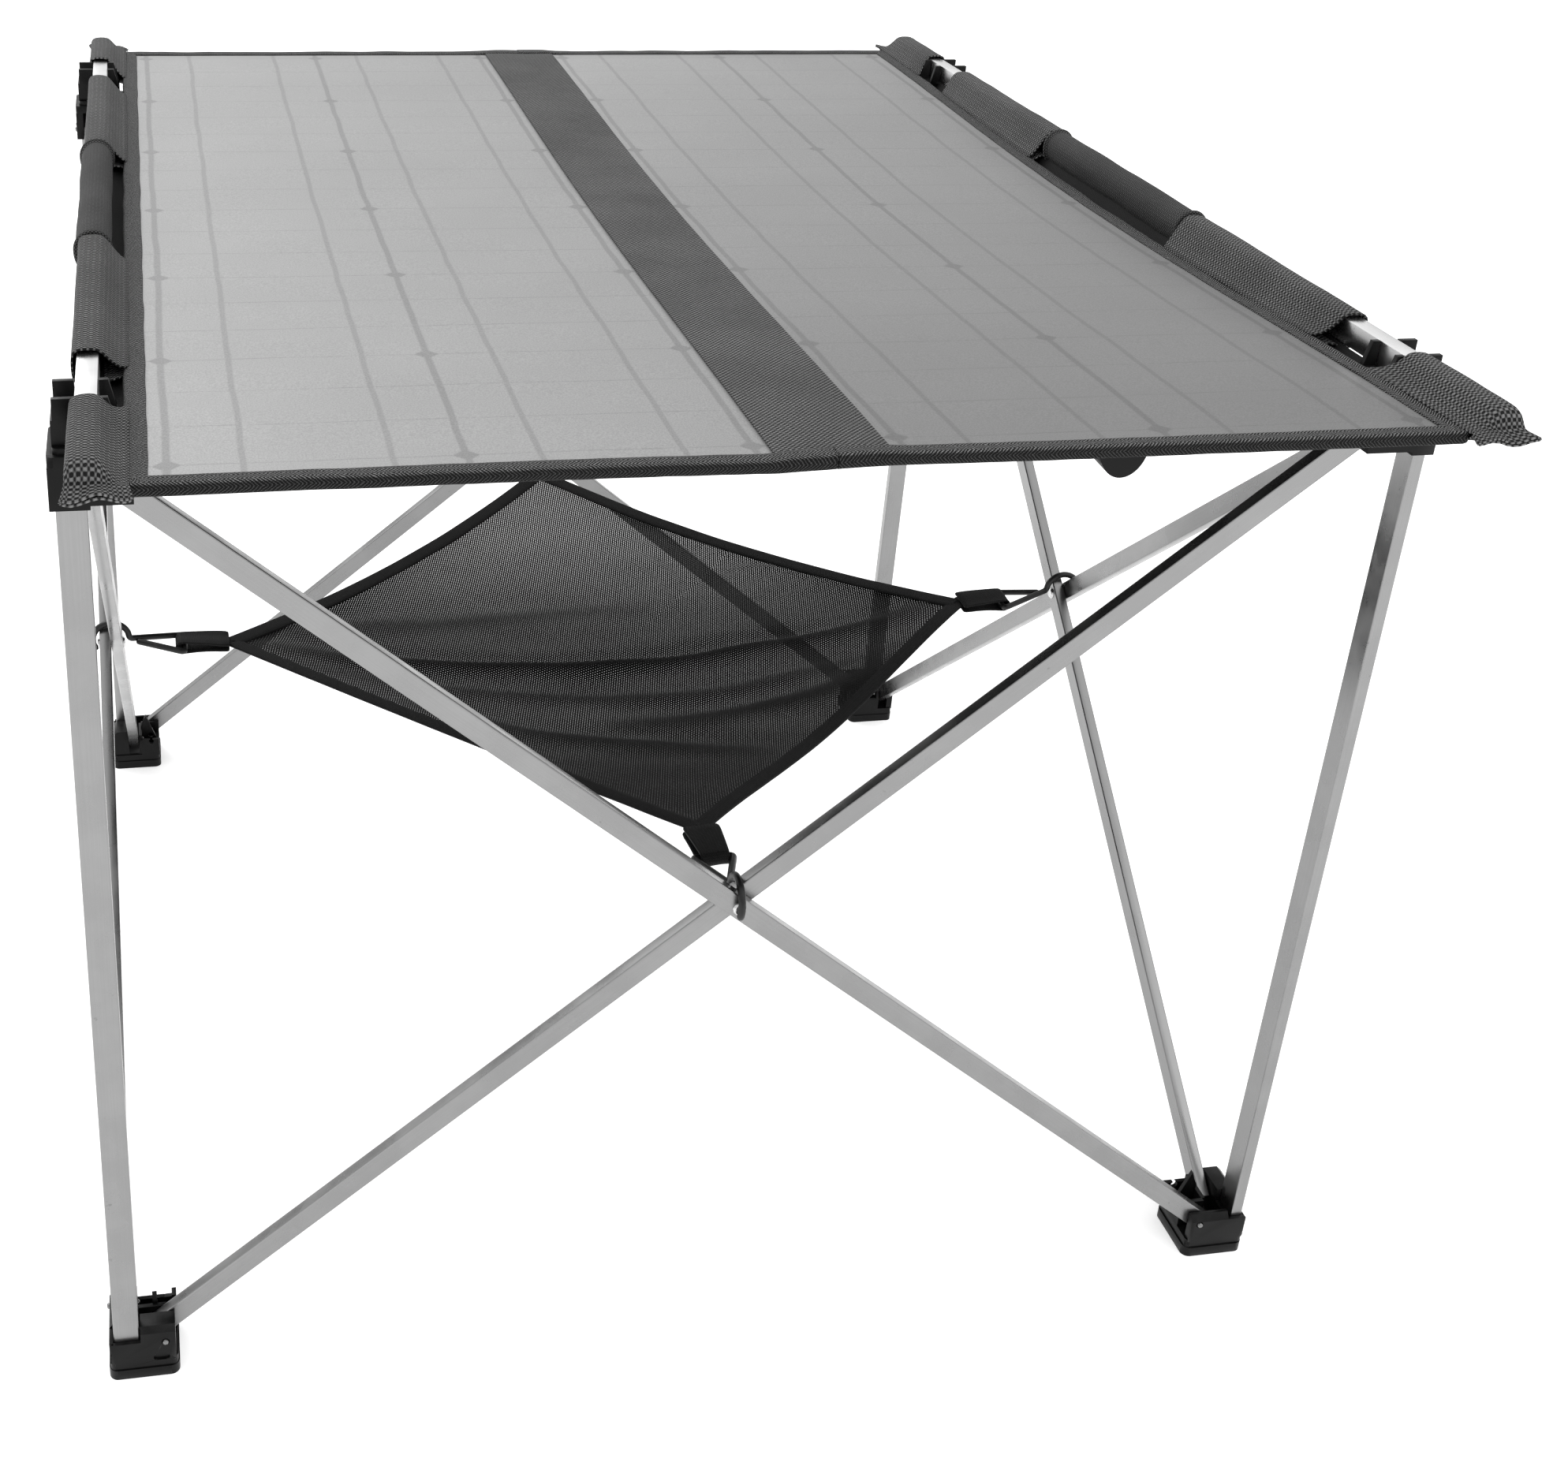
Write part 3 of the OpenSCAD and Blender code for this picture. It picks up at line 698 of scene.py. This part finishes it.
def edge_tape(half, sign):
    """Tape round the three free edges of one half, from the middle to the middle."""
    step = 5 * MM
    corner = 3 * MM

    def span(a, b):
        return list(np.linspace(a, b, max(2, round(abs(b - a) / step))))

    path = [(x, -END_Y) for x in span(0.3 * MM, EDGE_X - corner)]
    path += [(EDGE_X - corner * (1 - math.sin(a)), -END_Y + corner * (1 - math.cos(a))) for a in (0.5, 1.0)]
    path += [(EDGE_X, y) for y in span(-END_Y + corner, END_Y - corner)]
    path += [(EDGE_X - corner * (1 - math.cos(a)), END_Y - corner * (1 - math.sin(a))) for a in (0.5, 1.0)]
    path += [(x, END_Y) for x in span(EDGE_X - corner, 0.3 * MM)]
    flat = [Vector((sign * x, y)) for x, y in path]
    line, inward = [], []
    for i, p in enumerate(flat):
        before, after = flat[max(0, i - 1)], flat[min(len(flat) - 1, i + 1)]
        along = (after - before).normalized()
        n = Vector((-along.y, along.x)) * sign
        stretch = 1.0
        if 0 < i < len(flat) - 1:
            stretch = 1 / max(0.72, (p - before).normalized().dot(along))
        line.append(Vector((p.x, p.y, top_z(p.x, p.y))))
        inward.append(Vector((n.x, n.y, 0)) * stretch)

    def wobble(p, d, h):
        """Hand-sewn unevenness, and the lump where the tape passes over the middle strip."""
        sway = noise.noise(Vector((p.x * 38, p.y * 38, 3.1 * sign)))
        puff = noise.noise(Vector((p.x * 85, p.y * 85, 9.7 + d * 60)))
        over_strip = max(0.0, 1 - abs(p.x) / (STRIP_HALF + 6 * MM)) if abs(p.y) > END_Y * 0.98 else 0.0
        rise = 1.0 * MM * min(1.0, over_strip * 2.5) if h > 0 else 0.0
        on_side = abs(p.x) > EDGE_X * 0.995
        outward = Vector((p.x, 0, 0) if on_side else (0, p.y, 0)).normalized()
        return Vector((0, 0, 0.35 * MM * sway + 0.22 * MM * puff + rise)) + outward * (0.5 * MM * sway)

    piece = tape(f"edge_tape_{half}", line, inward, TAPE_PROFILE, "edge_tape", wobble)
    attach(piece, f"top_{half}")
    return piece


def middle_strip():
    """The woven strip that hinges the two panels, one piece from half to half."""

    def camber(x, y):
        arch = 0.45 * MM * (1 - (x / STRIP_HALF) ** 2)
        wave = noise.noise(Vector((x * 22, y * 7, 1.7))) * 0.9 * MM
        pucker = noise.noise(Vector((x * 60, y * 26, 5.2))) * 0.25 * MM
        lifted = 0.35 * MM * max(0.0, -x / STRIP_HALF) ** 3
        return arch + wave * (1 - (x / STRIP_HALF) ** 2) + pucker + lifted

    piece = layer("middle_strip", -STRIP_HALF, STRIP_HALF, END_Y - 3.5 * MM, 0.95 * MM, 0.8 * MM,
                  "strip_fabric", 30, 220, camber)
    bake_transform(piece)


# ---------------------------------------------------------------- sleeves and grips

# Cross-section of a sleeve round the rail, from the tape over the rail and back under it:
# (outward from the cover's edge, above or below the rail's middle)
SLEEVE_PROFILE = [
    (x * MM, z * MM)
    for x, z in ((-2.4, -2.6), (1.8, -1.7), (6.0, 2.6), (9.4, 7.0), (11.4, 8.3), (15.5, 8.5), (19.6, 8.2),
                 (21.9, 6.9), (22.6, 3.0), (22.5, -3.5), (21.8, -7.0), (19.2, -8.4), (15.0, -8.7),
                 (10.6, -8.2), (6.0, -6.6), (1.8, -6.2), (-2.4, -5.6))
]


def sleeve(name, half, sign, y_sign, start, end, start_slant, end_slant, pocket):
    """A sleeve round the rail from start to end. Its ends slant; pocket closes the far one."""
    count = max(8, round((end - start) / (5 * MM)))
    rows = []
    for t in np.linspace(0, 1, count):
        y = start + (end - start) * t
        rows.append([sleeve_point(x, z, y, t, sign, y_sign, start_slant, end_slant, end - start)
                     for x, z in SLEEVE_PROFILE])
    if pocket:
        rows += pocket_rows(sign, y_sign, end)
    piece = surface(name, rows, "cover_fabric", thickness=0.9 * MM, smooth=50, flip=sign * y_sign > 0)
    smoothed(piece, 1)
    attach(piece, f"top_{half}")
    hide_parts(f"rail_sleeves_{half}")
    around = sum(math.dist(a, b) for a, b in zip(SLEEVE_PROFILE, SLEEVE_PROFILE[1:]))


def sleeve_point(x, z, y, t, sign, y_sign, start_slant, end_slant, length):
    """One point of a sleeve: tight round the rail, slack and a little hollow toward the tape."""
    near_tape = max(0.0, 1 - (x + 2.4 * MM) / (9 * MM))
    reach = 45 * MM / length
    y += start_slant * near_tape * max(0.0, 1 - t / reach)
    y += end_slant * near_tape * max(0.0, 1 - (1 - t) / reach)
    px, py = EDGE_X + x, y * y_sign
    slack = noise.noise(Vector((x * 110, y * 24, sign * 3.3 + y_sign * 1.9)))
    drag = noise.noise(Vector((x * 40, y * 60, sign * 7.1 + y_sign * 4.3)))
    px += 0.35 * MM * slack * (1 if x > 5 * MM else 0)
    pz = RAIL_Z + z + (0.45 * slack + 0.25 * drag) * MM - top_drop(sign * EDGE_X, py) * near_tape
    return Vector((sign * px, py, pz))


def pocket_rows(sign, y_sign, end):
    """The closed end of an end sleeve: its wall folds in to a seam that sticks out, ragged."""
    rows = []
    for out, shut, flare in ((3.0, 0.10, 0.0), (5.2, 0.42, 0.0), (6.2, 0.82, 0.02), (8.0, 0.93, 0.05),
                             (11.5, 0.94, 0.10), (15.0, 0.95, 0.16)):
        row = []
        for x, z in SLEEVE_PROFILE:
            seam = -1.2 * MM
            ragged = noise.noise(Vector((x * 150, sign * 5.0, y_sign * 8.0)))
            past = max(0.0, (out - 6.0) / 9.0)
            wave = math.sin(x / (22 * MM) * 2 * math.pi * 1.3 + sign + y_sign) * 1.9 * MM * past
            px = EDGE_X + 11 * MM + (x - 11 * MM) * (1 + flare)
            py = end + out * MM + ragged * 2.2 * MM * past + max(0.0, x - 14 * MM) * 0.30 * past
            pz = RAIL_Z + z + (seam - z) * shut + wave - 1.5 * MM * past
            row.append(Vector((sign * px, y_sign * py, pz)))
        rows.append(row)
    return rows


def sleeves(half, sign):
    for place, y_sign in (("front", -1), ("back", 1)):
        sleeve(f"long_sleeve_{half}_{place}", half, sign, y_sign, GRIP_HIGH.y + GRIP_GAP, WINDOW_IN,
               1.5 * MM, -7 * MM, False)
        sleeve(f"end_sleeve_{half}_{place}", half, sign, y_sign, WINDOW_OUT, POCKET_END - 3 * MM,
               -15 * MM, 0.0, True)


def gap_flap(half, sign):
    """The cover's lower cloth, which runs on under the gap between the tape and the grip."""
    reach = FLAP_END
    rows = []
    for y in np.linspace(-reach, reach, 90):
        drop = top_drop(sign * EDGE_X, y)
        row = []
        for x, z in ((-3.0, -5.2), (0.6, -6.6), (3.2, -7.8), (6.5, -7.6), (9.0, -5.2), (10.6, -3.4)):
            share = 1 - max(0.0, x) / 10.6
            ripple = noise.noise(Vector((x * 0.3, y * 30, sign * 2.7))) * 0.5 * MM
            row.append(Vector((sign * (EDGE_X + x * MM), y, TOP_Z + z * MM - drop * share + ripple)))
        rows.append(row)
    piece = surface(f"gap_flap_{half}", rows, "lining", thickness=0.8 * MM, smooth=60, flip=sign > 0)
    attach(piece, f"top_{half}")


def grip(half, sign):
    """Padded sleeve on the middle of the rail: full between two piped ends."""
    end = GRIP_HIGH.y
    rail_half = Vector((RAIL_HIGH.x - RAIL_X, RAIL_HIGH.z - RAIL_Z))
    piping = ((6.0, 0.0), (0.6, 0.0), (0.0, 0.25), (-0.2, 0.8), (0.4, 1.12), (1.6, 1.16), (2.9, 1.1),
              (3.5, 0.99), (4.6, 0.97))
    stations = [(end - inset * MM, full) for inset, full in piping]
    inner = np.linspace(end - 9 * MM, 0, 22)
    stations += [(y, 1.0 + 0.035 * math.sin(math.pi * (1 - y / end))) for y in inner]
    whole = stations + [(-y, r) for y, r in reversed(stations[:-1])]
    rows = []
    for y, full in whole:
        ring = []
        for a in np.linspace(0, 2 * math.pi, 40, endpoint=False):
            c, s = math.cos(a), math.sin(a)
            square = 1 / max(abs(c) / (rail_half.x + 0.35 * MM), abs(s) / (rail_half.y + 0.35 * MM))
            wrinkle = noise.noise(Vector((c * 1.6, s * 1.6, y * 34 + sign * 5))) * 0.45 * MM
            hang = 0.32 if s < 0 else 0.06
            pad = 9.3 * MM * (1 + hang * s * s) + (wrinkle if abs(y) < end - 6 * MM else 0)
            r = square + (pad * full - square) * min(1.0, full * 1.5) if full else square
            ring.append(Vector((sign * RAIL_X + c * r, y, RAIL_Z + s * r - 0.4 * MM * min(1.0, full))))
        rows.append(ring)
    piece = surface(f"grip_{half}_pad", rows, "grip_fabric", wrap=True, ring=True, smooth=55)
    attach(piece, f"top_{half}")
    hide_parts(f"grip_{half}")


# ---------------------------------------------------------------- mesh shelf

# Folds of the hanging mesh: (start, end, bow toward the front, depth, half width) on the plan
FOLDS = [
    ((-0.235, -0.004), (0.245, 0.004), 0.020, 6.5, 9.0),
    ((-0.215, -0.022), (0.225, -0.026), 0.038, 2.0, 7.0),
    ((-0.02, -0.095), (0.200, -0.045), 0.020, 3.6, 11.0),
    ((-0.15, -0.065), (0.08, -0.145), 0.012, 2.6, 9.0),
    ((-0.225, 0.012), (0.05, 0.055), -0.012, 1.8, 12.0),
]
def shelf_fold(x, y):
    """(height of the folds, share of cloth within the folds) at a place on the shelf's plan. That share
    closes the mesh along the creases: it stands for the cloth letting less through there, and it is painted
    shade on the creases.
    """
    height, folded_and_painted_shade = 0.0, 0.0
    here = Vector((x, y))
    for start, end, bow, depth, half_width in FOLDS:
        a, b = Vector(start), Vector(end)
        along = (b - a).normalized()
        t = (here - a).dot(along) / (b - a).length
        if -0.05 < t < 1.05:
            t = max(0.0, min(1.0, t))
            across = (here - a).dot(Vector((-along.y, along.x))) + bow * math.sin(math.pi * t)
            across += 0.004 * noise.noise(Vector((x * 16, y * 16, bow * 300)))
            fade = math.sin(math.pi * t) ** 0.6
            r = across / (half_width * MM)
            height += depth * MM * fade * (math.exp(-r * r) - 0.55 * math.exp(-((r - 1.7) ** 2)))
            folded_and_painted_shade = max(folded_and_painted_shade, fade * math.exp(-((r - 0.3) ** 2) * 1.6) * min(1.0, depth / 4.5))
    return height, folded_and_painted_shade


def shelf_point(s, t):
    """A place on the shelf. s and t run from -1 to 1, and (-1, -1) is the front corner."""
    x, y = MESH_R * (s - t) / 2, MESH_R * (s + t) / 2
    edge = max(abs(s), abs(t))
    pull = 1 - 0.045 * edge ** 6 * (1 - min(abs(s), abs(t)) ** 2)
    x, y = x * pull, y * pull
    corner = (abs(s) * abs(t)) ** 2
    inside = (1 - abs(s) ** 2.2) * (1 - abs(t) ** 2.2)
    front_right = max(0.0, -t) ** 3 * (1 - s * s)
    hem_sag = (7 * MM + 14 * MM * front_right) * (1 - corner) * edge ** 2
    forward = 1 + 0.35 * max(0.0, -y / MESH_R)
    folds, folded_and_painted_shade = shelf_fold(x, y)
    ripple = noise.noise(Vector((x * 20, y * 34, 2.2))) * 1.6 * MM
    soft = min(1.0, (1 - edge) * 6 + 0.15)
    z = SHELF_Z - SHELF_SAG * inside ** 0.8 * forward - hem_sag + (folds + ripple) * soft
    return Vector((x, y, z)), folded_and_painted_shade


def painted_shade_share(y):
    """How much less open the mesh is drawn, at y from 1 at its back corner to -1 at its front corner:
    painted shade over the shelf's middle and front.
    It is a look only: the real mesh is the same all over."""
    middle = max(0.0, min(1.0, (0.65 - y) / 0.55))
    front = max(0.0, min(1.0, (-0.35 - y) / 0.3))
    return 0.62 * middle + 0.4 * front


def side_turn(k):
    """Turns a front place to side k: 0 front, 1 right, 2 back, 3 left."""
    return Matrix.Rotation(math.pi / 2 * k, 3, "Z")


# The two edges of each quarter of the shelf: signs of s and t at its corner
QUARTER = {"front": (-1, -1), "right": (1, -1), "back": (1, 1), "left": (-1, 1)}


def mesh_quarter(k, side):
    """A quarter of the shelf, its hem and its webbing loop."""
    sign_s, sign_t = QUARTER[side]
    steps = np.linspace(0, 1, 64)
    edge_start = 1 - 0.03
    rows, folded_and_painted_shade = [], []
    for a in steps * edge_start:
        places = [shelf_point(sign_s * a, sign_t * b) for b in steps * edge_start]
        rows.append([p for p, _ in places])
        # painted shade: each point stores the folds' share plus the painted shade over the shelf's middle
        # and front
        folded_and_painted_shade += [f + painted_shade_share(p.y / MESH_R) for p, f in places]
    sheet = surface(f"shelf_mesh_{side}", rows, "shelf_mesh", smooth=180, flip=sign_s * sign_t < 0)
    attribute = sheet.data.attributes.new("folds_and_painted_shade", "FLOAT", "POINT")
    attribute.data.foreach_set("value", np.array(folded_and_painted_shade, np.float32))
    hem = shelf_hem(side, sign_s, sign_t)
    loop = webbing_loop(k, side)
    for piece in (sheet, hem):
        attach(piece, f"mesh_{side}")
        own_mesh(piece)
    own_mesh(loop)
    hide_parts(f"mesh_{side}")


HEM_PROFILE = [
    (d * MM, h * MM)
    for d, h in ((0.0, 0.0), (0.5, 0.8), (3.0, 1.0), (8.0, 0.95), (10.6, 0.8), (11.2, 0.2), (10.8, -0.5),
                 (8.0, -0.8), (3.0, -0.9), (0.5, -0.8))
]


def shelf_hem(side, sign_s, sign_t):
    """The bound edge of a quarter, from one edge's middle round the corner to the other's."""
    edge = 0.9985
    steps = np.linspace(0, edge - 0.02, 40)
    places = [(sign_s * a, sign_t * edge) for a in steps]
    places += [(sign_s * edge, sign_t * a) for a in steps[::-1]]
    line = [shelf_point(s, t)[0] for s, t in places]
    middle = Vector((0, 0))
    inward = []
    for i, p in enumerate(line):
        before, after = line[max(0, i - 1)], line[min(len(line) - 1, i + 1)]
        along = (after - before).xy.normalized()
        n = Vector((-along.y, along.x))
        if n.dot(middle - p.xy) < 0:
            n.negate()
        inward.append(Vector((n.x, n.y, -0.12)))
    return tape(f"shelf_hem_{side}", line, inward, HEM_PROFILE, "hem")


def webbing_loop(k, side):
    """A doubled webbing strap from the mesh corner round the hook's cross bar."""
    bar, z = BAR_R, MESH_HIGH.z
    round_bar = 3.4 * MM
    line = [(bar - 30 * MM, z + 0.6 * MM), (bar - 20 * MM, z + 1.9 * MM), (bar - 10 * MM, z + 2.6 * MM)]
    line += [(bar + round_bar * math.sin(a), z + round_bar * math.cos(a))
             for a in np.linspace(0, math.pi, 9)]
    line += [(bar - 10 * MM, z - 1.8 * MM), (bar - 20 * MM, z - 1.4 * MM), (bar - 30 * MM, z - 2.0 * MM)]
    rows = []
    for r, height in line:
        wide = 8.2 * MM + (bar - r) * 0.09
        rows.append([side_turn(k) @ Vector((x, -r, height + 0.5 * MM * math.sin(x * 260)))
                     for x in np.linspace(-wide, wide, 9)])
    piece = surface(f"mesh_loop_{side}_strap", rows, "webbing", thickness=1.0 * MM, smooth=50)
    smoothed(piece, 1)
    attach(piece, f"mesh_{side}")
    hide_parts(f"mesh_loop_{side}")
    return piece


def hook(k, side):
    """Bent wire: a triangular link through the strap, then a bend over the crossed braces."""
    thin = WIRE_R
    bend = 11.6 * MM
    bend_r = -HOOK_LOW.y - bend - WIRE_R
    bend_z = HOOK_HIGH.z - bend - WIRE_R
    wide = 10.4 * MM
    bar_z = MESH_HIGH.z - 0.4 * MM
    link = [(1.6 * MM, -bend_r + bend + 6 * MM, bend_z - 2.0 * MM),
            (wide + 1.5 * MM, -BAR_R + 1.5 * MM, bar_z), (-wide - 1.5 * MM, -BAR_R + 1.5 * MM, bar_z),
            (0, -bend_r + bend, bend_z)]
    over = [
        (0, -bend_r - bend * math.cos(a), bend_z + bend * math.sin(a))
        for a in np.linspace(math.radians(158), math.radians(-28), 26)
    ]
    line = filleted(link + over[:1], 3.6 * MM)[:-1] + [Vector(p) for p in over]
    piece = wire(f"mesh_hook_{side}_wire", [side_turn(k) @ p for p in line], thin, "hook_wire")
    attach(piece, f"hook_{side}")
    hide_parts(f"mesh_hook_{side}")


# ---------------------------------------------------------------- stage


def camera():
    """In front of the left leg, looking down and a little right. The shift only frames the table."""
    lens = bpy.data.cameras.new("camera")
    seen = bpy.data.objects.new("camera", lens)
    bpy.context.scene.collection.objects.link(seen)
    yaw, pitch, roll = 0.19706, 0.44089, 0.0401
    ahead = Vector((math.sin(yaw) * math.cos(pitch), math.cos(yaw) * math.cos(pitch), -math.sin(pitch)))
    right = Vector((math.cos(yaw), -math.sin(yaw), 0))
    up = right.cross(ahead)
    across = right * math.cos(roll) + up * math.sin(roll)
    upward = up * math.cos(roll) - right * math.sin(roll)
    turn = Matrix((across, upward, -ahead)).transposed().to_4x4()
    seen.matrix_world = Matrix.Translation((-0.28778, -1.18016, 0.91307)) @ turn
    lens.sensor_width = 36
    lens.lens = 46.757
    lens.shift_x, lens.shift_y = 0.1598, -0.1276
    lens.clip_start, lens.clip_end = 0.01, 100
    bpy.context.scene.camera = seen


def area_light(name, place, aim, size, power):
    light = bpy.data.lights.new(name, "AREA")
    light.shape, light.size, light.size_y = "RECTANGLE", size[0], size[1]
    light.energy = power
    lamp = bpy.data.objects.new(name, light)
    lamp.location = place
    lamp.rotation_euler = (Vector(aim) - Vector(place)).to_track_quat("-Z", "Y").to_euler()
    bpy.context.scene.collection.objects.link(lamp)


def lights():
    """Soft studio light: a bright dome that darkens toward the horizon, a large key and a weak fill."""
    world = bpy.data.worlds.new("studio")
    bpy.context.scene.world = world
    world.use_nodes = True
    nodes, links = world.node_tree.nodes, world.node_tree.links
    split = nodes.new("ShaderNodeSeparateXYZ")
    ramp = nodes.new("ShaderNodeMapRange")
    links.new(nodes.new("ShaderNodeTexCoord").outputs["Generated"], split.inputs[0])
    links.new(split.outputs[2], ramp.inputs["Value"])
    ramp.inputs["From Min"].default_value, ramp.inputs["From Max"].default_value = 0.0, 0.9
    ramp.inputs["To Min"].default_value, ramp.inputs["To Max"].default_value = 0.72, 1.25
    links.new(ramp.outputs[0], nodes["Background"].inputs["Strength"])
    nodes["Background"].inputs["Color"].default_value = (1, 1, 1, 1)
    area_light("key", (-1.6, 2.2, 2.6), (0, 0, 0.5), (2.2, 2.2), 45)
    area_light("fill", (1.8, -2.4, 2.2), (0, 0, 0.4), (2.5, 2.0), 14)
    bpy.context.scene.view_settings.view_transform = "Standard"


def floor():
    PAINT["floor"] = pale_floor("floor")
    half = 30
    corners = [(-half, -half, 0), (half, -half, 0), (half, half, 0), (-half, half, 0)]
    mesh = bpy.data.meshes.new("floor")
    mesh.from_pydata(corners, [], [(0, 1, 2, 3)])
    new_piece("floor", mesh, "floor")


# ---------------------------------------------------------------- assembly


def rigid_parts():
    """Corner blocks, rivets, cradles, tubes and rails, as rounded copies of their CAD nodes."""
    for corner in CORNERS:
        foot = refined(f"foot_{corner}", "corner_plastic", 0.55 * MM)
        if corner == "front_left":
            for vert in foot.data.vertices:
                if vert.co.z > GUIDE_Z:
                    vert.co.z = GUIDE_Z + (vert.co.z - GUIDE_Z) * 0.1
        refined(f"hub_{corner}", "corner_plastic", 0.6 * MM)
        refined(f"rail_cradle_{corner}", "corner_plastic", 0.5 * MM)
        refined(f"post_{corner}", "tube_aluminium", 0.7 * MM, 2, 20 * MM)
        pins(f"foot_rivets_{corner}", 1.7 * MM)
        pins(f"hub_rivets_{corner}", 1.9 * MM)
    for side in SIDES:
        refined(f"outer_brace_{side}", "tube_aluminium", 0.7 * MM, 2, 20 * MM)
        refined(f"inner_brace_{side}", "tube_aluminium", 0.7 * MM, 2, 20 * MM)
        refined(f"crossing_rivet_{side}", "rivet_metal", 0.45 * MM, 3, 0.2 * MM)
    for half in HALVES:
        refined(f"side_rail_{half}", "rail_aluminium", 0.6 * MM, 2, 20 * MM)
    deepen_box(refined("junction_box", "box_plastic", 1.0 * MM, 3, 1.2 * MM))


def deepen_box(box):
    """Draws the front of the junction box deeper than its part, which is too shallow there."""
    deeper, start_y, ramp = 0.35, 360 * MM, 20 * MM
    top = max(v.co.z for v in box.data.vertices)
    for vert in box.data.vertices:
        vert.co.z -= (top - vert.co.z) * deeper * max(0.0, min(1.0, (-vert.co.y - start_y) / ramp))


camera()
rigid_parts()
for half, sign in HALVES.items():
    solar_panel(half, sign)
    tape_piece = edge_tape(half, sign)
    sheet = cover_sheet(half, sign)
    sleeves(half, sign)
    grip(half, sign)
    gap_flap(half, sign)
middle_strip()
for k, side in enumerate(SIDES):
    hook(k, side)
    mesh_quarter(k, side)
floor()
lights()
